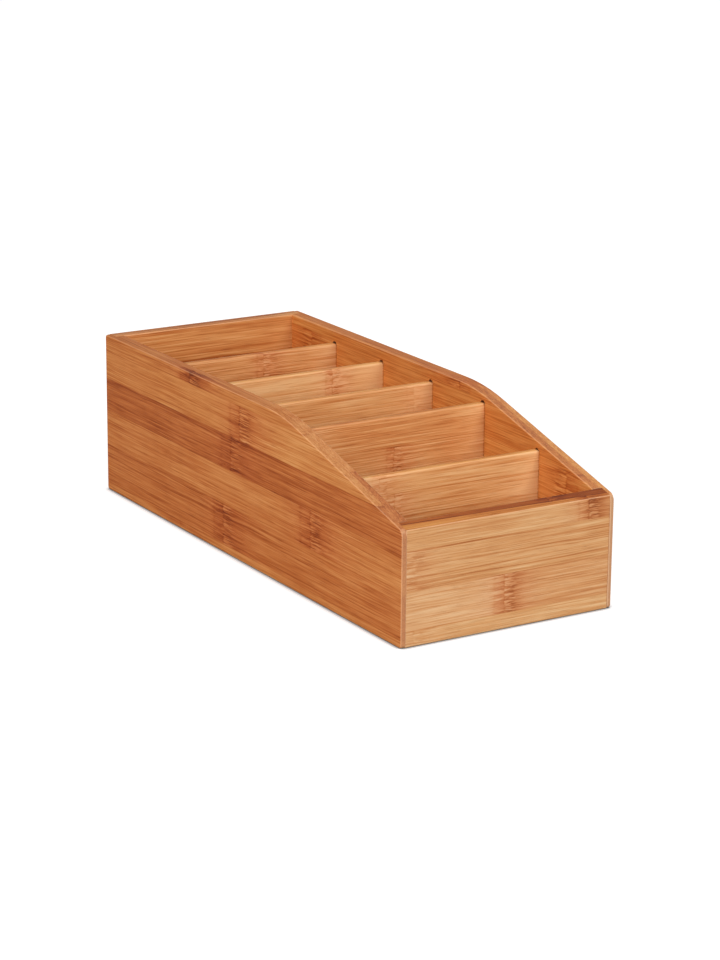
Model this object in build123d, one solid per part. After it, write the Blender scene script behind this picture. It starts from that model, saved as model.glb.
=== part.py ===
from build123d import *
import os

# Open bamboo organizer box with six fixed compartments and sloping sides.
# Millimetres. The origin is under the middle of the box, on the table.
# +X is right, +Y runs from the low front to the tall back, +Z is up.

# Overall size
overall_width = 145.0
overall_length = 366.0
back_height = 105.0
front_height = 69.0
slope_length = 135.5

# Boards
side_thickness = 9.5
panel_thickness = 9.5
divider_thickness = 5.0
floor_thickness = 4.0
divider_count = 5

# Joints
corner_lip = 3.0
housing_depth = 4.0
housing_gap = 0.1
floor_recess = 5.0
floor_gap = 0.1
end_gap = 0.4

# Where the dividers end, and how far their housings show above them
divider_drop = 8.0
slope_drop = 4.3
housing_rise = 1.2
front_housing_rise = 0.6

# Rounded shapes and eased edges
bend_radius = 155.0
nose_radius = 5.0
corner_radius = 2.0
edge_radius = 1.0
divider_corner_radius = 5.5
divider_edge_radius = 1.6
joint_bevel = 0.3

# Sizes that follow from the ones above
front_y = -overall_length / 2
back_y = overall_length / 2
inner_x = overall_width / 2 - side_thickness
lip_x = overall_width / 2 - corner_lip
inner_front_y = front_y + panel_thickness
inner_back_y = back_y - panel_thickness
slope = (back_height - front_height) / slope_length
floor_top = floor_recess + floor_thickness
floor_groove_height = floor_thickness + floor_gap
tongue_length = housing_depth - end_gap
divider_span = inner_back_y - inner_front_y - divider_count * divider_thickness
compartment_length = divider_span / (divider_count + 1)
divider_pitch = compartment_length + divider_thickness


def rim_height(y):
    """Height of the side's top edge at y, with the bend taken as sharp."""
    return min(back_height, front_height + slope * (y - front_y))


def divider_front(index):
    """Y of the front face of a divider, counted from the front."""
    return inner_front_y + compartment_length + index * divider_pitch


def divider_top(index):
    """A divider stops below the level rim and below the slope before it."""
    return min(back_height - divider_drop, rim_height(divider_front(index)) - slope_drop)


def block(x_range, y_range, z_range):
    """A plain box between two limits on each axis."""
    sizes = [high - low for low, high in (x_range, y_range, z_range)]
    middles = [(high + low) / 2 for low, high in (x_range, y_range, z_range)]
    return Pos(*middles) * Box(*sizes)


def side_outline():
    """Outline of a side in the YZ plane, with its bend and corners rounded."""
    corners = {
        (front_y, 0): corner_radius,
        (back_y, 0): corner_radius,
        (back_y, back_height): corner_radius,
        (front_y + slope_length, back_height): bend_radius,
        (front_y, front_height): nose_radius,
    }
    face = make_face(Plane.YZ * Polyline(*corners, close=True))
    for (y, z), radius in corners.items():
        nearest = face.vertices().sort_by_distance((0, y, z))[0]
        face = face.face().fillet_2d(radius, [nearest])
    return face


def divider_housing(index):
    """Cutter for the stopped groove of one divider, with a routed round end."""
    rise = front_housing_rise if index == 0 else housing_rise
    groove_radius = divider_thickness / 2 + housing_gap
    middle_y = divider_front(index) + divider_thickness / 2
    round_z = divider_top(index) + rise - groove_radius
    straight = block(
        (inner_x, inner_x + housing_depth),
        (middle_y - groove_radius, middle_y + groove_radius),
        (floor_recess, round_z),
    )
    round_end = Pos(inner_x, middle_y, round_z) * Rot(0, 90, 0) * Cylinder(
        groove_radius, housing_depth, align=(Align.CENTER, Align.CENTER, Align.MIN)
    )
    return straight + round_end


def right_side():
    """The right side: eased board, rebated ends, floor groove and housings."""
    board = Pos(inner_x, 0, 0) * extrude(side_outline(), side_thickness, dir=(1, 0, 0))
    board = fillet(board.faces().filter_by(Axis.X).edges(), edge_radius)
    board -= block((inner_x, lip_x), (front_y, inner_front_y), (0, back_height))
    board -= block((inner_x, lip_x), (inner_back_y, back_y), (0, back_height))
    board -= block(
        (inner_x, inner_x + housing_depth),
        (inner_front_y, inner_back_y),
        (floor_recess, floor_recess + floor_groove_height),
    )
    for index in range(divider_count):
        board -= divider_housing(index)
    return board


def end_panel(outer_y, inner_y, outer_height, inner_height):
    """A front or back panel that fills the rebates between the two lips."""
    profile = Polyline(
        (outer_y, 0), (inner_y, 0), (inner_y, inner_height), (outer_y, outer_height), close=True
    )
    panel = extrude(make_face(Plane.YZ * profile), lip_x, dir=(1, 0, 0), both=True)
    outer_face = panel.faces().sort_by_distance((0, outer_y, outer_height / 2))[0]
    panel = chamfer(outer_face.edges().filter_by(Axis.Z), joint_bevel)
    panel = fillet(panel.edges().filter_by(Axis.X), edge_radius)
    groove_y = inner_y + (housing_depth if outer_y > inner_y else -housing_depth)
    panel -= block(
        (-lip_x, lip_x),
        sorted((inner_y, groove_y)),
        (floor_recess, floor_recess + floor_groove_height),
    )
    return panel


def front_panel():
    """The low front; its top is bevelled to run on from the sides' slope."""
    return end_panel(front_y, inner_front_y, front_height, rim_height(inner_front_y))


def back_panel():
    """The tall back, level with the sides' rim."""
    return end_panel(back_y, inner_back_y, back_height, back_height)


def bottom_panel():
    """The thin floor, held in the groove that runs round all four boards."""
    half_width = inner_x + tongue_length
    return block(
        (-half_width, half_width),
        (inner_front_y - tongue_length, inner_back_y + tongue_length),
        (floor_recess, floor_top),
    )


def divider(index):
    """One divider with rounded top corners, standing on the floor in its two housings."""
    half_width = inner_x + tongue_length
    top = divider_top(index)
    outline = Polyline(
        (-half_width, floor_top), (half_width, floor_top), (half_width, top), (-half_width, top), close=True
    )
    face = make_face(Plane.XZ * outline)
    face = face.face().fillet_2d(divider_corner_radius, face.vertices().sort_by(Axis.Z)[-2:])
    board = Pos(0, divider_front(index), 0) * extrude(face, divider_thickness, dir=(0, 1, 0))
    rims = board.faces().filter_by(Axis.Y).edges().filter_by(lambda edge: edge.center().Z > floor_top + 1)
    return fillet(rims, divider_edge_radius)


def save(name, shape):
    """Write one piece under its own name."""
    shape.label = name
    export_step(shape, f"parts/{name}.step")


os.makedirs("parts", exist_ok=True)
right = right_side()
save("right_side", right)
save("left_side", mirror(right, about=Plane.YZ))
save("front_panel", front_panel())
save("back_panel", back_panel())
save("bottom_panel", bottom_panel())
for number in range(divider_count):
    save(f"divider_{number + 1}", divider(number))
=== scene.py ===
import math
import random

import bpy
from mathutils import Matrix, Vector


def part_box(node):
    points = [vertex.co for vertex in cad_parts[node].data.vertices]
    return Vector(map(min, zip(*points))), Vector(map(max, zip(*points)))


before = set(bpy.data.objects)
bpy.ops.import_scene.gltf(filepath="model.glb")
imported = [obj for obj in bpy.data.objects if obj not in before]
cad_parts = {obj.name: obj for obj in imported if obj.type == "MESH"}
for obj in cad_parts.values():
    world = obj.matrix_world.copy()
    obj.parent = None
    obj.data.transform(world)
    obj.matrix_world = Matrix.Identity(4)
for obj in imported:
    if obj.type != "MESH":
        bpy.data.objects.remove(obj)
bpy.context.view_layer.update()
print("box loaded:", len(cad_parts), "boards")

# Small helpers for node trees


def addNode(tree, kind, **settings):
    node = tree.nodes.new(kind)
    for name, value in settings.items():
        setattr(node, name, value)
    return node


def feed(tree, socket, value):
    # links a socket, or sets a plain value
    if isinstance(value, bpy.types.NodeSocket):
        tree.links.new(value, socket)
    else:
        socket.default_value = value


def reckon(tree, operation, *values):
    node = addNode(tree, "ShaderNodeMath", operation=operation)
    for socket, value in zip(node.inputs, values):
        feed(tree, socket, value)
    return node.outputs[0]


def product(tree, first, *others):
    for other in others:
        first = reckon(tree, "MULTIPLY", first, other)
    return first


def vectors(tree, operation, *values):
    node = addNode(tree, "ShaderNodeVectorMath", operation=operation)
    for socket, value in zip(node.inputs, values):
        feed(tree, socket, value)
    return node.outputs[0]


def stretch(tree, position, x, y, z):
    return vectors(tree, "MULTIPLY", position, (x, y, z))


def grey(tone):
    # from 0, black, to 1, white
    return (tone, tone, tone, 1)


def joinXyz(tree, x, y, z):
    node = addNode(tree, "ShaderNodeCombineXYZ")
    for socket, value in zip(node.inputs, (x, y, z)):
        feed(tree, socket, value)
    return node.outputs[0]


def fade(tree, value, low, high):
    # smooth step: nought at low, one at high, either way round
    node = addNode(tree, "ShaderNodeMapRange", interpolation_type="SMOOTHSTEP")
    feed(tree, node.inputs["Value"], value)
    feed(tree, node.inputs["From Min"], low)
    feed(tree, node.inputs["From Max"], high)
    return node.outputs[0]


def noise(tree, position, detail=2.0, roughness=0.5, colour=False):
    node = addNode(tree, "ShaderNodeTexNoise")
    feed(tree, node.inputs["Vector"], position)
    node.inputs["Scale"].default_value = 1.0
    node.inputs["Detail"].default_value = detail
    node.inputs["Roughness"].default_value = roughness
    return node.outputs["Color" if colour else "Fac"]


def grainNoise(tree, position, grain, detail=2.0, roughness=0.5, colour=False):
    # noise drawn out along the strip; grain is its fineness along and across it
    along, across = grain
    return noise(tree, stretch(tree, position, along, across, across), detail, roughness, colour)


def centred(tree, colour):
    # noise colour as an offset either way
    return vectors(tree, "SUBTRACT", colour, (0.5, 0.5, 0.5))


def bell(tree, distance, width):
    # one at distance nought, falling off on both sides like a bell
    share = reckon(tree, "DIVIDE", distance, width)
    return reckon(tree, "EXPONENT", product(tree, share, share, -1.0))


def mixColour(tree, factor, a, b, blend="MIX"):
    node = addNode(tree, "ShaderNodeMix", data_type="RGBA", blend_type=blend)
    feed(tree, node.inputs[0], factor)
    feed(tree, node.inputs[6], a)
    feed(tree, node.inputs[7], b)
    return node.outputs[2]


def mixNumber(tree, factor, a, b):
    node = addNode(tree, "ShaderNodeMix", data_type="FLOAT")
    feed(tree, node.inputs[0], factor)
    feed(tree, node.inputs[2], a)
    feed(tree, node.inputs[3], b)
    return node.outputs[0]


def newGroup(name, inputs, outputs):
    # an empty node group with named sockets; gives its tree, its inputs' values and its outputs' sockets
    tree = bpy.data.node_groups.new(name, "ShaderNodeTree")
    kinds = {"number": "NodeSocketFloat", "vector": "NodeSocketVector"}
    for label, kind, value in inputs:
        socket = tree.interface.new_socket(name=label, in_out="INPUT", socket_type=kinds[kind])
        if value is not None:
            socket.default_value = value
    for label, kind in outputs:
        tree.interface.new_socket(name=label, in_out="OUTPUT", socket_type=kinds[kind])
    return tree, tree.nodes.new("NodeGroupInput").outputs, tree.nodes.new("NodeGroupOutput").inputs


def useGroup(tree, group, **values):
    node = addNode(tree, "ShaderNodeGroup", node_tree=group)
    for label, value in values.items():
        feed(tree, node.inputs[label], value)
    return node.outputs


# The room that the photograph was taken in

view = {
    "place": (-0.877836, -1.454912, 0.538191),   # metres
    "turn": (73.71469, -0.48902, -31.30238),     # degrees
    "lens": 107.026,                             # mm
    "sensor": 36.0,                              # mm
    "clip": (0.05, 30.0),                        # metres
}
light = {
    "room": 0.45,                          # soft white from all round
    "backdrop": 1.0,                       # behind the table it is white paper too
    "key": 58.0,                           # large soft box in front
    "keyPlace": (0.3, -2.9, 1.5),          # metres
    "side": 52.0,                          # large soft box on the left
    "sidePlace": (-2.9, -0.6, 1.45),
    "size": 1.5,                           # metres, of both soft boxes
    "aim": (0, 0, 0.05),                   # where both point
    "exposure": 0.0,
}

scene = bpy.context.scene
scene.view_settings.view_transform = "Standard"
scene.view_settings.exposure = light["exposure"]

cameraData = bpy.data.cameras.new("camera")
cameraData.lens = view["lens"]
cameraData.sensor_width = view["sensor"]
cameraData.clip_start, cameraData.clip_end = view["clip"]
camera = bpy.data.objects.new("camera", cameraData)
camera.location = view["place"]
camera.rotation_euler = [math.radians(turn) for turn in view["turn"]]
scene.collection.objects.link(camera)
scene.camera = camera


def softBox(name, place, power):
    # a square area light that points at the box
    data = bpy.data.lights.new(name, "AREA")
    data.size = light["size"]
    data.energy = power
    lamp = bpy.data.objects.new(name, data)
    lamp.location = place
    way = [there - here for here, there in zip(place, light["aim"])]
    lamp.rotation_mode = "QUATERNION"
    lamp.rotation_quaternion = Vector(way).to_track_quat("-Z", "Y")
    scene.collection.objects.link(lamp)


softBox("keyLight", light["keyPlace"], light["key"])
softBox("sideLight", light["sidePlace"], light["side"])

room = bpy.data.worlds.new("room")
room.use_nodes = True
roomTree = room.node_tree
roomLight = roomTree.nodes["Background"]
backdrop = addNode(roomTree, "ShaderNodeBackground")
for background, strength in ((roomLight, light["room"]), (backdrop, light["backdrop"])):
    background.inputs["Color"].default_value = grey(1.0)
    background.inputs["Strength"].default_value = strength
seen = addNode(roomTree, "ShaderNodeLightPath")
either = addNode(roomTree, "ShaderNodeMixShader")
feed(roomTree, either.inputs[0], seen.outputs["Is Camera Ray"])
feed(roomTree, either.inputs[1], roomLight.outputs[0])
feed(roomTree, either.inputs[2], backdrop.outputs[0])
feed(roomTree, roomTree.nodes["World Output"].inputs["Surface"], either.outputs[0])
scene.world = room
print("room, lights and camera ready")


# Bamboo. All lengths are in mm: x along the strip, y across it, z through it

mmPerMetre = 1000.0

knuckleShape = {
    # how fine each noise is along and across the strip, in cycles per mm
    "wanderGrain": (0.0, 0.09), "raggedGrain": (0.0, 1.10), "stirGrain": (0.22, 0.30),
    "swayGrain": (0.045, 0.09), "dashGrain": (0.09, 1.00), "barGrain": (0.04, 0.55),
    "hatchGrain": (0.035, 0.85), "seamGrain": (0.0, 0.32),
    # mm from the seam along the strip where a mark is absent and full
    "dashStart": (-0.4, 0.3), "dashEnd": (2.4, 0.6), "barStart": (0.2, -0.7), "barEnd": (-5.0, 0.5),
    "hatchStart": (1.0, 5.0), "hatchEnd": (26.0, 8.0), "afterStart": (-4.0, 14.0),
    # mm that the seam strays and that the marks' ends are uneven
    "wander": 2.4, "ragged": 11.0, "patchRagged": 0.6,
    # places and widths in mm
    "haloPlace": 4.0, "haloWidth": 17.0, "patchWidth": 7.0, "turnWidth": 6.0, "seamWidth": 0.6,
    "secondSeamPlace": 7.0, "secondSeamWidth": 0.9,
    # levels of its noise where a mark is absent and full
    "paleCut": (0.50, 0.60), "dimCut": (0.49, 0.38), "barCut": (0.44, 0.58), "hatchCut": (0.50, 0.64),
    "seamCut": (0.40, 0.56),
    # strengths
    "turn": 1.2, "lean": 2.6, "secondSeam": 0.45, "hatch": 0.42, "bar": 0.50, "dim": 0.60, "barRed": 0.6,
}


def makeKnuckle():
    # Where the cane had a joint: a seam with pale dashes on one side of it and ruddy bars on the other
    shape = knuckleShape
    tree, given, out = newGroup(
        "bambooKnuckle",
        [("Position", "vector", None), ("Distance", "number", 50.0), ("Strength", "number", 1.0),
         ("Seam", "number", 0.6), ("Patch", "number", 0.3), ("Patch Offset", "number", 0.0),
         ("Reach", "number", 1.0), ("Pitch", "number", 1.0)],
        [("Shade", "number"), ("Pale", "number"), ("Ruddy", "number"), ("After", "number"),
         ("Swirl", "vector"), ("Height", "number")],
    )
    # reach draws it out along the strip, and pitch packs its dashes closer
    shrink = reckon(tree, "DIVIDE", 1.0, given["Reach"])
    scale = joinXyz(tree, shrink, given["Pitch"], given["Pitch"])
    spot = vectors(tree, "MULTIPLY", given["Position"], scale)
    strength = given["Strength"]
    wander = grainNoise(tree, given["Position"], shape["wanderGrain"], detail=2.0, roughness=0.6)
    wander = reckon(tree, "MULTIPLY_ADD", wander, shape["wander"], -shape["wander"] / 2)
    distance = reckon(tree, "MULTIPLY", shrink, reckon(tree, "ADD", given["Distance"], wander))
    ragged = grainNoise(tree, spot, shape["raggedGrain"], detail=1.0)
    ragged = reckon(tree, "MULTIPLY", ragged, shape["ragged"])
    nearHalo = reckon(tree, "SUBTRACT", distance, shape["haloPlace"])
    halo = product(tree, bell(tree, nearHalo, shape["haloWidth"]), strength)

    # fibres stir at the seam and sway on both sides of it
    turn = product(tree, bell(tree, distance, shape["turnWidth"]), strength, shape["turn"])
    lean = product(tree, halo, shape["lean"])
    stir = centred(tree, grainNoise(tree, spot, shape["stirGrain"], detail=1.0, colour=True))
    sway = centred(tree, grainNoise(tree, spot, shape["swayGrain"], detail=1.0, colour=True))
    bend = vectors(tree, "ADD", vectors(tree, "MULTIPLY", stir, joinXyz(tree, 0.0, turn, turn)),
                   vectors(tree, "MULTIPLY", sway, joinXyz(tree, 0.0, lean, lean)))
    stirred = vectors(tree, "ADD", spot, bend)

    # dashes about 6 mm long and 1 mm high, beside the seam
    uneven = reckon(tree, "SUBTRACT", distance, ragged)
    beside = product(tree, fade(tree, distance, *shape["dashStart"]),
                     fade(tree, uneven, *shape["dashEnd"]), strength)
    dashes = grainNoise(tree, stirred, shape["dashGrain"], detail=1.0, roughness=0.35)
    pale = product(tree, fade(tree, dashes, *shape["paleCut"]), beside)
    dim = product(tree, fade(tree, dashes, *shape["dimCut"]), beside)
    # bars behind the seam, 1 to 2 mm high and fading away from it
    uneven = reckon(tree, "ADD", distance, ragged)
    behind = product(tree, fade(tree, distance, *shape["barStart"]),
                     fade(tree, uneven, *shape["barEnd"]), strength)
    bars = grainNoise(tree, stirred, shape["barGrain"], detail=1.0)
    bars = product(tree, fade(tree, bars, *shape["barCut"]), behind)
    # thin dark hatching that runs on from the dashes
    beyond = product(tree, fade(tree, distance, *shape["hatchStart"]),
                     fade(tree, distance, *shape["hatchEnd"]), strength)
    hatch = grainNoise(tree, stirred, shape["hatchGrain"], detail=1.0)
    hatch = product(tree, fade(tree, hatch, *shape["hatchCut"]), beyond)
    # the seam itself and a fainter one behind it, both broken
    broken = fade(tree, grainNoise(tree, spot, shape["seamGrain"], detail=2.0), *shape["seamCut"])
    second = bell(tree, reckon(tree, "ADD", distance, shape["secondSeamPlace"]), shape["secondSeamWidth"])
    seam = bell(tree, distance, shape["seamWidth"])
    seam = reckon(tree, "MULTIPLY_ADD", second, shape["secondSeam"], seam)
    seam = product(tree, seam, broken, strength, given["Seam"])
    # a darker patch round it all, with ragged edges
    share = shape["patchRagged"]
    torn = reckon(tree, "MULTIPLY_ADD", ragged, share, -share * shape["ragged"] / 2)
    torn = reckon(tree, "SUBTRACT", reckon(tree, "SUBTRACT", distance, torn), given["Patch Offset"])
    patch = bell(tree, torn, shape["patchWidth"])
    patch = product(tree, patch, given["Patch"], strength, strength, strength)

    shade = reckon(tree, "MULTIPLY_ADD", bars, shape["bar"], seam)
    shade = reckon(tree, "MULTIPLY_ADD", hatch, shape["hatch"], shade)
    shade = reckon(tree, "MULTIPLY_ADD", dim, shape["dim"], reckon(tree, "ADD", shade, patch))
    feed(tree, out["Shade"], shade)
    feed(tree, out["Pale"], pale)
    feed(tree, out["Ruddy"], reckon(tree, "MULTIPLY_ADD", bars, shape["barRed"], halo))
    feed(tree, out["After"], product(tree, fade(tree, distance, *shape["afterStart"]), strength))
    feed(tree, out["Swirl"], bend)
    feed(tree, out["Height"], reckon(tree, "SUBTRACT", pale, reckon(tree, "ADD", dim, seam)))
    return tree


fibreShape = {
    # how fine each noise is along and across the strip, in cycles per mm
    "driftGrain": (0.016, 0.10), "bundleGrain": (0.012, 0.95), "fineGrain": (0.024, 1.4),
    "streakGrain": (0.011, 0.55), "lineGrain": (0.006, 0.40), "bandGrain": (0.0035, 0.15),
    "cloudGrain": (0.020, 0.055),
    "drift": 1.3,                                            # mm that the fibres stray
    "girth": 0.14, "girthSpread": 0.20, "girthSoft": 0.09,   # of the bundles, in shares of their spacing
    "linePlace": 0.56, "lineWidth": 0.035,                   # level of the noise that a line follows
    "lineCut": (0.40, 0.58),                                 # streaks where a line is absent and full
    "fineHeight": 0.6,                                       # relief of the fine noise
}


def makeFibres():
    # Fibre bundles, which are dots across the grain and long fine lines along it, and the softer streaks
    shape = fibreShape
    tree, given, out = newGroup(
        "bambooFibres",
        [("Position", "vector", None), ("Swirl", "vector", None)],
        [("Bundles", "number"), ("Lines", "number"), ("Fine", "number"), ("Streaks", "number"),
         ("Bands", "number"), ("Clouds", "number"), ("Height", "number")],
    )
    spot = given["Position"]
    drift = centred(tree, grainNoise(tree, spot, shape["driftGrain"], detail=1.0, colour=True))
    drift = vectors(tree, "MULTIPLY", drift, (0.0, shape["drift"], shape["drift"]))
    bent = vectors(tree, "ADD", vectors(tree, "ADD", spot, drift), given["Swirl"])
    cells = addNode(tree, "ShaderNodeTexVoronoi", feature="F1")
    along, across = shape["bundleGrain"]
    feed(tree, cells.inputs["Vector"], stretch(tree, bent, along, across, across))
    pick = addNode(tree, "ShaderNodeSeparateColor")
    feed(tree, pick.inputs[0], cells.outputs["Color"])
    girth = reckon(tree, "MULTIPLY_ADD", pick.outputs[0], shape["girthSpread"], shape["girth"])
    outside = reckon(tree, "SUBTRACT", cells.outputs["Distance"], girth)
    bundles = fade(tree, outside, shape["girthSoft"], -shape["girthSoft"])
    fine = grainNoise(tree, bent, shape["fineGrain"], detail=1.0, roughness=0.5)
    streaks = grainNoise(tree, bent, shape["streakGrain"], detail=2.0, roughness=0.60)
    lines = grainNoise(tree, bent, shape["lineGrain"], detail=2.0, roughness=0.5)
    lines = bell(tree, reckon(tree, "SUBTRACT", lines, shape["linePlace"]), shape["lineWidth"])
    feed(tree, out["Bundles"], bundles)
    feed(tree, out["Lines"], product(tree, lines, fade(tree, streaks, *shape["lineCut"])))
    feed(tree, out["Fine"], fine)
    feed(tree, out["Streaks"], streaks)
    feed(tree, out["Bands"], grainNoise(tree, bent, shape["bandGrain"], detail=1.0))
    feed(tree, out["Clouds"], grainNoise(tree, spot, shape["cloudGrain"], detail=1.0))
    height = reckon(tree, "SUBTRACT", reckon(tree, "MULTIPLY", fine, shape["fineHeight"]), bundles)
    feed(tree, out["Height"], height)
    return tree


faceTurns = {
    # share of the normal that points along the board where such a face is absent and full
    "cutEnd": (0.45, 0.90), "slanted": (0.06, 0.24),
    "narrow": (0.72, 0.95),   # across the board
    "eased": (0.94, 0.82),    # along the nearest axis
}


def makeWorkedFaces():
    # Tells a board's cut ends, slanted cuts, narrow edges and sanded corners from its broad faces
    tree, given, out = newGroup(
        "workedFaces",
        [("Normal", "vector", None), ("Along", "vector", (0.0, 1.0, 0.0)),
         ("Across", "vector", (0.0, 0.0, 1.0))],
        [("Cut End", "number"), ("Slanted", "number"), ("Narrow Edge", "number"), ("Eased", "number")],
    )
    facing = {}
    for label in ("Along", "Across"):
        turned = addNode(tree, "ShaderNodeVectorMath", operation="DOT_PRODUCT")
        feed(tree, turned.inputs[0], given["Normal"])
        feed(tree, turned.inputs[1], given[label])
        facing[label] = reckon(tree, "ABSOLUTE", turned.outputs["Value"])
    narrow = fade(tree, facing["Across"], *faceTurns["narrow"])
    feed(tree, out["Cut End"], fade(tree, facing["Along"], *faceTurns["cutEnd"]))
    feed(tree, out["Narrow Edge"], narrow)
    feed(tree, out["Slanted"], product(tree, fade(tree, facing["Along"], *faceTurns["slanted"]), narrow))
    split = addNode(tree, "ShaderNodeSeparateXYZ")
    feed(tree, split.inputs[0], given["Normal"])
    sizes = [reckon(tree, "ABSOLUTE", split.outputs[axis]) for axis in range(3)]
    largest = reckon(tree, "MAXIMUM", reckon(tree, "MAXIMUM", sizes[0], sizes[1]), sizes[2])
    feed(tree, out["Eased"], fade(tree, largest, *faceTurns["eased"]))
    return tree


lacquerLook = {
    # how fine each noise is along and across the grain, in cycles per mm
    "waveGrain": (0.25, 0.25), "patchGrain": (0.03, 0.05), "markGrain": (0.09, 5.0),
    # roughness, and what each thing adds to it
    "roughness": 0.36, "patches": 0.16, "marks": 0.08, "bundles": 0.06, "cut": 0.12,
    "coatRoughness": 0.32,
    # relief: its height in metres, and the share of each thing in it
    "relief": 0.00008, "reliefStrength": 0.6, "markHeight": 0.35, "knuckleHeight": 1.2, "glueHeight": -0.8,
}


def makeLacquer():
    # A thin satin coat: slightly wavy, duller in patches, with a trace of sanding marks along the grain
    look = lacquerLook
    tree, given, out = newGroup(
        "satinLacquer",
        [("Position", "vector", None), ("Bundles", "number", 0.0), ("Cut", "number", 0.0)],
        [("Roughness", "number"), ("Height", "number")],
    )
    wave = grainNoise(tree, given["Position"], look["waveGrain"], detail=1.0)
    patches = grainNoise(tree, given["Position"], look["patchGrain"], detail=2.0)
    marks = grainNoise(tree, given["Position"], look["markGrain"], detail=1.0)
    rough = reckon(tree, "MULTIPLY_ADD", patches, look["patches"], look["roughness"])
    rough = reckon(tree, "MULTIPLY_ADD", marks, look["marks"], rough)
    rough = reckon(tree, "MULTIPLY_ADD", given["Bundles"], look["bundles"], rough)
    rough = reckon(tree, "MULTIPLY_ADD", given["Cut"], look["cut"], rough)
    feed(tree, out["Roughness"], rough)
    feed(tree, out["Height"], reckon(tree, "MULTIPLY_ADD", marks, look["markHeight"], wave))
    return tree


knuckleGroup = makeKnuckle()
fibreGroup = makeFibres()
faceGroup = makeWorkedFaces()
lacquerGroup = makeLacquer()

bamboo = {
    # the wood from its palest to its darkest: tone and colour
    "tones": [
        (0.00, (0.800, 0.520, 0.270)),
        (0.25, (0.680, 0.350, 0.140)),
        (0.50, (0.530, 0.205, 0.062)),
        (0.75, (0.350, 0.100, 0.020)),
        (1.00, (0.160, 0.034, 0.005)),
    ],
    "yellow": (1.03, 1.05, 0.94),       # tint of the yellowest strips
    "ruddy": (1.0, 0.86, 0.86),         # tint of the reddest
    "knuckleRed": 0.45,                 # redness that a knuckle adds
    "wearAndHighlight": (0.80, 0.50, 0.29),       # where edges are sanded and handled, plus a painted highlight along the rounded edges
    "glueLine": (0.08, 0.35),           # mm from its middle to where it fades, and to where it ends
    "plyLine": (0.15, 0.45),            # the same for the line between the two layers
    "caneStep": (811.0, 373.0, 97.0),   # mm that strips can lie apart in the cane
}
veinShape = {
    "grain": (0.012, 0.03, 0.0),   # how fine its waves are, in cycles per mm
    "wander": 1.6,                 # mm
    "cut": (0.34, 0.56),           # streaks where a vein is absent and full
}
strewn = {
    # strips of a layer that the photograph doesn't show
    "width": (18, 30), "least": 6,   # mm
    "spread": 0.12,                  # of the tone, either way
    "redness": (0.2, 0.7),
    "knuckle": 0.46,                 # furthest from the middle, in lengths of the board
    "strength": (0.6, 1.0),
}


def toneRamp(tree, value):
    ramp = addNode(tree, "ShaderNodeValToRGB")
    stops = ramp.color_ramp.elements
    while len(stops) < len(bamboo["tones"]):
        stops.new(0.5)
    for stop, (place, colour) in zip(stops, bamboo["tones"]):
        stop.position = place
        stop.color = (*colour, 1.0)
    feed(tree, ramp.inputs[0], value)
    return ramp.outputs["Color"]


def markRamp(tree, marks, across, value):
    # black across the board but for the marks on it: (height in mm, level)
    ramp = addNode(tree, "ShaderNodeValToRGB")
    stops = ramp.color_ramp.elements
    stops[0].color = stops[1].color = grey(0.0)
    for height, level in marks:
        stops.new(height / across).color = grey(level)
    feed(tree, ramp.inputs[0], value)
    return ramp.outputs["Color"]


def strewnStrips(seed, tone, across, length):
    # random strips, each with one knuckle
    dice = random.Random(seed)
    strips, upper = [], 0.0
    while upper < across:
        upper += dice.uniform(*strewn["width"])
        if across - upper < strewn["least"]:
            upper = across
        shift = dice.uniform(-strewn["spread"], strewn["spread"])
        redness = dice.uniform(*strewn["redness"])
        knuckle = dice.uniform(-strewn["knuckle"], strewn["knuckle"]) * length
        strength = dice.uniform(*strewn["strength"])
        strips.append((min(upper, across), tone + shift, redness, knuckle, strength))
    return strips


def layStrips(tree, layer, sizes, value):
    # Looks up the strip at a place across one layer of the board: its tone, redness and knuckle place as
    # one colour, its knuckle's strength, and the glue lines
    length, across = sizes[:2]
    if isinstance(layer, dict):
        layer = strewnStrips(**layer, across=round(across, 1), length=round(length, 1))
    ramp = addNode(tree, "ShaderNodeValToRGB")
    ramp.color_ramp.interpolation = "CONSTANT"
    stops = ramp.color_ramp.elements
    lower = 0.0
    for number, (upper, tone, redness, knuckle, strength) in enumerate(layer):
        stop = stops[0] if number == 0 else stops.new(lower / across)
        stop.position = lower / across
        stop.color = (tone, redness, knuckle / length + 0.5, strength)
        lower = upper
    stops.remove(stops[-1])
    feed(tree, ramp.inputs[0], value)
    full, end = bamboo["glueLine"]
    marks = [(upper + offset, level) for upper, *_ in layer[:-1]
             for offset, level in ((-end, 0.0), (-full, 1.0), (full, 1.0), (end, 0.0))]
    return ramp.outputs["Color"], ramp.outputs["Alpha"], markRamp(tree, marks, across, value)


def findPlaces(tree, board):
    # Places on the board in mm: along it from its middle, across it from its lower edge, and through it
    # from its outer face
    low, high = (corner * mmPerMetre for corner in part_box(board["node"]))
    axes = ["XYZ".index(axis) for axis in board["axes"]]
    starts = [low[axis] for axis in axes]
    sizes = [high[axis] - low[axis] for axis in axes]
    given = addNode(tree, "ShaderNodeTexCoord").outputs
    split = addNode(tree, "ShaderNodeSeparateXYZ")
    feed(tree, split.inputs[0], given["Object"])
    origins = (starts[0] + sizes[0] / 2, starts[1], starts[2])
    along, across, through = [reckon(tree, "MULTIPLY_ADD", split.outputs[axis], mmPerMetre, -origin)
                              for axis, origin in zip(axes, origins)]
    if board["outerIsHigh"]:
        through = reckon(tree, "SUBTRACT", sizes[2], through)
    return {
        "sizes": sizes, "normal": given["Normal"], "along": along, "across": across, "through": through,
        "spot": joinXyz(tree, along, across, through),
    }


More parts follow.
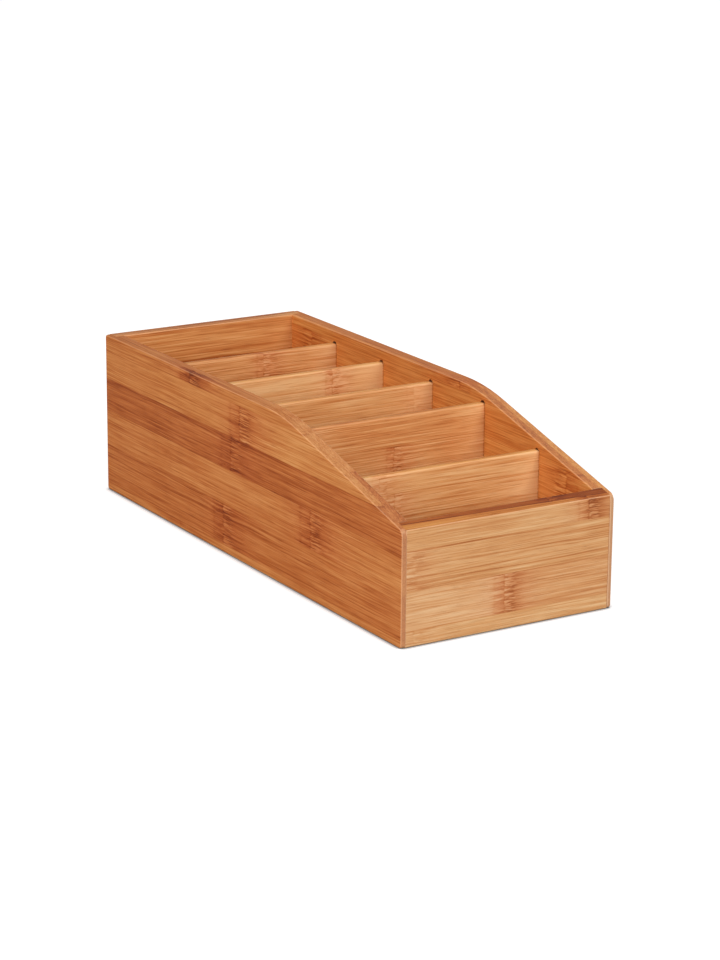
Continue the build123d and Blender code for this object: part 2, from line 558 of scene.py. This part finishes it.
def findStrips(tree, board, places):
    # The strip at each place, of the outer or the inner layer
    sizes = places["sizes"]
    height = reckon(tree, "DIVIDE", places["across"], sizes[1])
    outerStrip, outerStrength, outerGlue = layStrips(tree, board["outer"], sizes, height)
    innerStrip, innerStrength, innerGlue = layStrips(tree, board["inner"], sizes, height)
    seam = reckon(tree, "MULTIPLY_ADD", places["along"], board["skew"], sizes[2] * board["ply"])
    depth = reckon(tree, "SUBTRACT", places["through"], seam)
    isInner = reckon(tree, "GREATER_THAN", depth, 0.0)
    full, end = bamboo["plyLine"]
    strip = mixColour(tree, isInner, outerStrip, innerStrip)
    values = addNode(tree, "ShaderNodeSeparateColor")
    feed(tree, values.inputs[0], strip)
    tone, redness, place = values.outputs
    knuckle = reckon(tree, "MULTIPLY_ADD", place, sizes[0], -sizes[0] / 2)
    distance = reckon(tree, "MULTIPLY", reckon(tree, "SUBTRACT", places["along"], knuckle), board["growth"])
    return {
        "strip": strip, "isInner": isInner, "tone": tone, "redness": redness, "distance": distance,
        "strength": mixNumber(tree, isInner, outerStrength, innerStrength),
        "glue": mixColour(tree, isInner, outerGlue, innerGlue),
        "plyLine": fade(tree, reckon(tree, "ABSOLUTE", depth), end, full),
    }


def growWood(tree, board, look, places, strips):
    # The fibres and knuckles, how each face is cut, and the coat on it
    cane = addNode(tree, "ShaderNodeTexWhiteNoise", noise_dimensions="4D")
    feed(tree, cane.inputs["Vector"], strips["strip"])
    feed(tree, cane.inputs["W"], board["seed"])
    # every strip is cut from another part of the cane
    step = vectors(tree, "MULTIPLY", cane.outputs["Color"], bamboo["caneStep"])
    cut = vectors(tree, "ADD", places["spot"], step)
    knuckle = useGroup(tree, knuckleGroup, **{
        "Position": cut, "Distance": strips["distance"], "Strength": strips["strength"],
        "Seam": look["seam"], "Patch": look["patch"], "Patch Offset": look["patchOffset"],
        "Reach": look["reach"], "Pitch": look["pitch"],
    })
    fibres = useGroup(tree, fibreGroup, Position=cut, Swirl=knuckle["Swirl"])
    faces = useGroup(tree, faceGroup, Normal=places["normal"],
                     Along=[float(axis == board["axes"][0]) for axis in "XYZ"],
                     Across=[float(axis == board["axes"][1]) for axis in "XYZ"])
    lacquer = useGroup(tree, lacquerGroup, Position=places["spot"], Bundles=fibres["Bundles"],
                       Cut=faces["Cut End"])
    return {"knuckle": knuckle, "fibres": fibres, "faces": faces, "lacquer": lacquer}


def darkVeins(tree, board, places, strips, streaks):
    # Dark veins that run the length of one layer
    across = places["sizes"][1]
    wander = noise(tree, stretch(tree, places["spot"], *veinShape["grain"]), detail=2.0)
    level = reckon(tree, "SUBTRACT", places["across"], veinShape["wander"] / 2)
    height = reckon(tree, "MULTIPLY_ADD", wander, veinShape["wander"], level)
    height = reckon(tree, "DIVIDE", height, across)
    marks = [(middle + offset, share) for middle, dark, half in board["veins"]
             for offset, share in ((-half, 0.0), (0.0, dark), (half, 0.0))]
    facing = strips["isInner"]
    if board["veinsOutside"]:
        facing = reckon(tree, "SUBTRACT", 1.0, facing)
    broken = fade(tree, streaks, *veinShape["cut"])
    return product(tree, markRamp(tree, marks, across, height), broken, facing)


def darken(tree, board, look, places, strips, wood):
    # How dark the wood is at each point
    knuckle, fibres, faces = wood["knuckle"], wood["fibres"], wood["faces"]
    dark = strips["tone"]
    for label in ("Streaks", "Fine", "Bands", "Clouds"):
        level = reckon(tree, "SUBTRACT", fibres[label], 0.5)
        dark = reckon(tree, "MULTIPLY_ADD", level, look[label.lower()], dark)
    # the fibres' cut ends show on the slanted cuts
    speckle = product(tree, fibres["Bundles"], faces["Slanted"])
    innerRim = product(tree, reckon(tree, "SUBTRACT", strips["isInner"], 0.5), faces["Slanted"])
    marks = [
        (fibres["Bundles"], "bundles"), (fibres["Lines"], "lines"), (knuckle["Shade"], "knuckles"),
        (knuckle["Pale"], "dashes"), (knuckle["After"], "after"), (strips["glue"], "glue"),
        (strips["plyLine"], "ply"), (faces["Narrow Edge"], "narrow"), (faces["Slanted"], "slanted"),
        (faces["Cut End"], "cutEnd"), (speckle, "speckle"), (innerRim, "innerRim"),
        # painted shade: darker along the board towards the back
        (places["along"], "drift"),
    ]
    # painted light: paler towards the board's ends, where they meet the side walls, in place of the light
    # bouncing off them; and a painted shadow line where the board goes into its housing
    if look["ends"]:
        half = places["sizes"][0] / 2
        outward = reckon(tree, "ABSOLUTE", places["along"])
        seat = reckon(tree, "SUBTRACT", outward, half - look["housed"])
        marks.append((fade(tree, outward, half - look["endReach"], half - look["endFull"]), "ends"))
        marks.append((bell(tree, seat, look["jointWidth"]), "joint"))
    for mark, label in marks:
        dark = reckon(tree, "MULTIPLY_ADD", mark, look[label], dark)
    if board["veins"]:
        dark = reckon(tree, "ADD", dark, darkVeins(tree, board, places, strips, fibres["Streaks"]))
    return dark


def colourWood(tree, board, look, places, strips, wood):
    knuckle, faces = wood["knuckle"], wood["faces"]
    colour = toneRamp(tree, darken(tree, board, look, places, strips, wood))
    # some strips are redder and some yellower, and knuckles are ruddy
    redness = reckon(tree, "MULTIPLY_ADD", knuckle["Ruddy"], bamboo["knuckleRed"], strips["redness"])
    ruddy = mixColour(tree, redness, (*bamboo["yellow"], 1), (*bamboo["ruddy"], 1))
    colour = mixColour(tree, 1.0, colour, ruddy, "MULTIPLY")
    colour = mixColour(tree, 1.0, colour, (*board["tint"], 1), "MULTIPLY")
    colour = mixColour(tree, faces["Narrow Edge"], colour, (*look["edgeTint"], 1), "MULTIPLY")
    opened = reckon(tree, "MULTIPLY", faces["Cut End"], look["openEnd"])
    opened = reckon(tree, "MULTIPLY_ADD", faces["Slanted"], look["openSlant"], opened)
    colour = mixColour(tree, opened, colour, (*look["openGrain"], 1))
    # sanded corners: paler from wear, and also a painted highlight along the rounded edges
    wearAndHighlight = reckon(tree, "MULTIPLY", faces["Eased"], look["wearAndHighlight"])
    # a painted highlight line on the lip's cut end, beside the front panel
    if look["lipHighlight"]:
        lip = bell(tree, reckon(tree, "SUBTRACT", places["through"], look["lipPlace"]), look["lipWidth"])
        wearAndHighlight = reckon(tree, "MULTIPLY_ADD", product(tree, lip, faces["Cut End"]), look["lipHighlight"], wearAndHighlight)
    return mixColour(tree, wearAndHighlight, colour, (*bamboo["wearAndHighlight"], 1))


def roughen(tree, strips, wood):
    # Fine relief
    height = reckon(tree, "ADD", wood["fibres"]["Height"], wood["lacquer"]["Height"])
    height = reckon(tree, "MULTIPLY_ADD", wood["knuckle"]["Height"], lacquerLook["knuckleHeight"], height)
    height = reckon(tree, "MULTIPLY_ADD", strips["glue"], lacquerLook["glueHeight"], height)
    relief = addNode(tree, "ShaderNodeBump")
    relief.inputs["Strength"].default_value = lacquerLook["reliefStrength"]
    relief.inputs["Distance"].default_value = lacquerLook["relief"]
    feed(tree, relief.inputs["Height"], height)
    return relief.outputs["Normal"]


def dress(changes):
    # Gives one board of the box its own bamboo
    board = {**plainBoard, **changes}
    look = {**plainLook, **board["look"]}
    material = bpy.data.materials.new(board["node"] + "Bamboo")
    material.use_nodes = True
    tree = material.node_tree
    places = findPlaces(tree, board)
    strips = findStrips(tree, board, places)
    wood = growWood(tree, board, look, places, strips)
    shader = tree.nodes["Principled BSDF"]
    feed(tree, shader.inputs["Base Color"], colourWood(tree, board, look, places, strips, wood))
    feed(tree, shader.inputs["Roughness"], wood["lacquer"]["Roughness"])
    feed(tree, shader.inputs["Normal"], roughen(tree, strips, wood))
    shader.inputs["Specular IOR Level"].default_value = look["sheen"]
    shader.inputs["Coat Weight"].default_value = look["coat"]
    shader.inputs["Coat Roughness"].default_value = lacquerLook["coatRoughness"]
    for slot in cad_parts[board["node"]].material_slots:
        slot.material = material
    print("dressed", board["node"])


# The boards. A layer is a list of its strips from the bottom edge up, each as (upper edge in mm, tone,
# redness, knuckle's mm from the middle, knuckle's strength), or a seed and a tone for random strips

plainBoard = {
    "ply": 1.1,             # where the outer layer ends, from 0 at the outer face to 1 at the inner one
    "skew": 0.0,            # how far the line between the layers leans
    "growth": 1.0,          # which way the cane grew
    "outerIsHigh": False,   # whether the outer face is the one towards plus on its axis
    "veins": [],            # (height in mm, darkness, half width in mm)
    "veinsOutside": True,
    "look": {},
}
plainLook = {
    # how much darker each thing makes the wood, or paler where it is below nought
    "streaks": 0.40, "fine": 0.70, "bands": 0.20, "clouds": 0.16, "bundles": 0.16, "lines": 0.12,
    "glue": 0.14, "ply": 0.34, "knuckles": 0.30, "dashes": -0.16, "after": 0.0, "narrow": 0.06,
    "slanted": -0.06, "speckle": 0.30, "innerRim": 0.0, "cutEnd": 0.04, "ends": 0.0, "joint": 0.0,
    "drift": 0.0,   # the same, per mm along the board: painted shade, darker towards the back of the left side
    # mm from the board's end where the painted light of "ends" starts and is full, and where the painted
    # shadow line at the joint is
    "endReach": 30.0, "endFull": 4.0, "housed": 3.6, "jointWidth": 0.5,
    # how strong the knuckles' seams and patches are, how long the knuckles are, and how close their dashes
    "seam": 0.6, "patch": 0.4, "patchOffset": 3.0, "reach": 1.0, "pitch": 1.0,
    # open grain on slanted cuts and cut ends
    "openGrain": (0.50, 0.25, 0.13), "openSlant": 0.22, "openEnd": 0.62,
    # narrow edges, sanded corners with their painted highlight, and the painted highlight line on the
    # corner beside a lip with its mm from the outer face
    "edgeTint": (1.0, 1.0, 1.0), "wearAndHighlight": 0.45, "lipHighlight": 0.0, "lipPlace": 2.8, "lipWidth": 0.6,
    "sheen": 0.22, "coat": 0.05,
}

leftSide = {
    "node": "left_side", "axes": "YZX", "ply": 0.5, "growth": -1.0,
    "seed": 1.0, "tint": (1.00, 0.79, 0.60),
    "look": {"streaks": 0.38, "knuckles": 0.26, "dashes": -0.20, "reach": 1.7, "pitch": 1.5, "ply": -0.10,
             "drift": 0.00026, "wearAndHighlight": 0.30, "edgeTint": (1.0, 1.04, 1.10), "sheen": 0.10, "coat": 0.03},
    "outer": [(5.0, 0.37, 0.40, 80.0, 0.4), (31.0, 0.48, 0.52, 23.0, 1.0), (54.5, 0.40, 0.46, -83.0, 1.1),
              (76.0, 0.54, 0.66, 13.0, 1.0), (98.0, 0.33, 0.30, 2.0, 1.2), (105.0, 0.41, 0.28, 66.0, 1.3)],
    "inner": {"seed": 11, "tone": 0.42},
    "veins": [(5.0, 0.06, 1.2), (8.2, 0.14, 0.9), (22.5, 0.12, 1.0), (53.8, 0.08, 0.8), (75.0, 0.10, 1.6),
              (85.5, 0.10, 0.9)],
}
dress(leftSide)

rightSide = {
    "node": "right_side", "axes": "YZX", "outerIsHigh": True, "ply": 0.5,
    "seed": 2.0, "tint": (1.08, 0.84, 0.54),
    "look": {"bands": 0.14, "clouds": 0.12, "streaks": 0.36, "ply": 0.04, "reach": 1.6, "patch": 0.3,
             "innerRim": 0.24, "speckle": 0.42, "cutEnd": -0.12, "openEnd": 0.74,
             "openGrain": (0.49, 0.28, 0.16), "wearAndHighlight": 0.32, "lipHighlight": 0.7},
    "outer": {"seed": 21, "tone": 0.38},
    "inner": [(28.0, 0.42, 0.5, 60.0, 0.8), (52.0, 0.40, 0.5, -40.0, 0.8), (75.5, 0.31, 0.28, -148.0, 1.1),
              (99.0, 0.38, 0.45, 147.0, 0.8), (105.0, 0.36, 0.4, -33.0, 0.9)],
}
dress(rightSide)

frontPanel = {
    "node": "front_panel", "axes": "XZY", "ply": 0.49, "skew": -0.018,
    "seed": 3.0, "tint": (0.93, 0.92, 0.97),
    "look": {"bands": 0.12, "streaks": 0.28, "fine": 0.62, "narrow": 0.22, "edgeTint": (1.02, 0.86, 0.54),
             "patch": 1.0, "patchOffset": 4.0, "seam": 0.5, "dashes": -0.24, "after": 0.09},
    "outer": [(9.5, 0.14, 0.24, -64.0, 0.4), (33.0, 0.17, 0.46, -3.2, 0.9), (56.5, 0.20, 0.32, -76.0, 0.6),
              (71.5, 0.21, 0.30, 54.5, 1.0)],
    "inner": [(20.0, 0.45, 0.5, 20.0, 0.8), (46.0, 0.40, 0.5, -40.0, 0.8), (71.5, 0.49, 0.60, 30.0, 0.8)],
    "veins": [(9.5, 0.10, 0.9), (16.0, 0.06, 0.8), (34.0, 0.12, 1.2), (37.2, 0.26, 0.6), (40.6, 0.26, 0.6),
              (46.5, 0.26, 0.5), (50.5, 0.12, 0.5), (56.0, 0.28, 0.5), (61.0, 0.08, 0.5)],
}
dress(frontPanel)

backPanel = {
    "node": "back_panel", "axes": "XZY", "outerIsHigh": True, "ply": 0.5,
    "seed": 4.0, "tint": (1.04, 0.90, 0.74),
    # its ends carry painted light beside the side walls
    "look": {"fine": 0.84, "streaks": 0.34, "ends": -0.14},
    "outer": {"seed": 41, "tone": 0.40},
    "inner": [(26.0, 0.42, 0.5, 20.0, 0.8), (54.0, 0.40, 0.5, -40.0, 0.8), (82.0, 0.42, 0.5, 10.0, 0.8),
              (105.0, 0.36, 0.45, -75.0, 0.5)],
    "veins": [(82.0, 0.14, 1.2), (86.5, 0.16, 0.9), (93.0, 0.08, 0.7), (97.5, 0.16, 0.7)],
    "veinsOutside": False,
}
dress(backPanel)

floorBoard = {
    "node": "bottom_panel", "axes": "YXZ",
    "seed": 5.0, "tint": (1.04, 0.98, 0.94),
    "outer": {"seed": 51, "tone": 0.26},
    "inner": {"seed": 52, "tone": 0.26},
}
dress(floorBoard)

dividerStrips = {
    "divider_1": [(22.0, 0.30, 0.4, 35.0, 0.8), (46.0, 0.28, 0.4, -37.0, 0.7),
                  (60.0, 0.21, 0.4, -38.0, 0.8), (72.5, 0.19, 0.35, -48.0, 0.8)],
    "divider_2": [(22.0, 0.34, 0.4, 20.0, 0.8), (44.0, 0.34, 0.4, -30.0, 0.8), (69.0, 0.30, 0.4, -2.0, 0.9),
                  (88.0, 0.35, 0.4, -90.0, 0.8)],
    "divider_3": [(20.0, 0.34, 0.4, -50.0, 0.8), (45.0, 0.30, 0.4, 25.0, 0.8), (70.0, 0.30, 0.4, 10.0, 0.8),
                  (88.0, 0.25, 0.35, 49.0, 0.4)],
    "divider_4": [(24.0, 0.30, 0.4, -20.0, 0.8), (50.0, 0.26, 0.4, 40.0, 0.8),
                  (88.0, 0.11, 0.34, 25.0, 1.1)],
    "divider_5": [(22.0, 0.34, 0.4, 50.0, 0.8), (48.0, 0.36, 0.5, -30.0, 0.8), (72.0, 0.34, 0.5, 40.0, 0.8),
                  (88.0, 0.29, 0.46, 8.0, 1.0)],
}
dividerTops = {   # how much darker the top edge is
    "divider_1": 0.07, "divider_2": 0.04, "divider_3": -0.04, "divider_4": 0.03, "divider_5": 0.04,
}
dividerLook = {
    # ends is painted light near the side walls; joint is a painted shadow line where each divider goes into
    # its housing
    "bands": 0.08, "streaks": 0.26, "fine": 0.86, "clouds": 0.12, "patch": 0.15, "ends": -0.20,
    "joint": 0.38, "reach": 0.7, "wearAndHighlight": 0.20, "edgeTint": (0.97, 0.89, 0.66),
}
for number, (name, strips) in enumerate(dividerStrips.items()):
    dress({
        "node": name, "axes": "XZY", "seed": 6.0 + number, "tint": (1.06, 0.98, 0.92),
        "look": {**dividerLook, "narrow": dividerTops[name]},
        "outer": strips, "inner": strips,
    })

# The table top

ground = {
    "reach": 8.0,              # metres each way
    "tone": 0.50,              # how much light it throws back on the box
    "speckle": 0.01,           # how much that varies either way
    "grain": (900.0, 900.0),   # how fine it varies, in cycles per metre
    "glow": 0.75,              # how much whiter it looks than it lights
    "contact": 0.005,          # metres that the painted contact shadow under the boards reaches
    "shade": 0.22,             # how dark the painted shadow makes the paper under them
    "open": (0.30, 0.98),      # how open the paper is where the painted shadow is darkest, and where it is clear
    "roughness": 0.85,
    "sheen": 0.1,
    "samples": 12,             # looks around from each point of it
}

groundMesh = bpy.data.meshes.new("ground")
reach = ground["reach"]
groundMesh.from_pydata([(-reach, -reach, 0), (reach, -reach, 0), (reach, reach, 0), (-reach, reach, 0)], [],
                       [(0, 1, 2, 3)])
groundPiece = bpy.data.objects.new("ground", groundMesh)
scene.collection.objects.link(groundPiece)
paper = bpy.data.materials.new("whitePaper")
paper.use_nodes = True
paperTree = paper.node_tree
paperShader = paperTree.nodes["Principled BSDF"]
paperPlaces = addNode(paperTree, "ShaderNodeTexCoord")
speckle = grainNoise(paperTree, paperPlaces.outputs["Object"], ground["grain"])
sheet = mixColour(paperTree, speckle, grey(ground["tone"] - ground["speckle"]),
                  grey(ground["tone"] + ground["speckle"]))
# painted contact shadow: ambient occlusion darkens the paper and dims its glow beside the boards
contactShadowAo = addNode(paperTree, "ShaderNodeAmbientOcclusion", samples=ground["samples"])
contactShadowAo.inputs["Distance"].default_value = ground["contact"]
clear = fade(paperTree, contactShadowAo.outputs["AO"], *ground["open"])
feed(paperTree, paperShader.inputs["Base Color"], mixColour(paperTree, clear, grey(ground["shade"]), sheet))
paperShader.inputs["Roughness"].default_value = ground["roughness"]
paperShader.inputs["Specular IOR Level"].default_value = ground["sheen"]
paperShader.inputs["Emission Color"].default_value = grey(1.0)
paperLight = addNode(paperTree, "ShaderNodeLightPath")
feed(paperTree, paperShader.inputs["Emission Strength"],
     product(paperTree, paperLight.outputs["Is Camera Ray"], clear, ground["glow"]))
groundMesh.materials.append(paper)
print("ground laid")
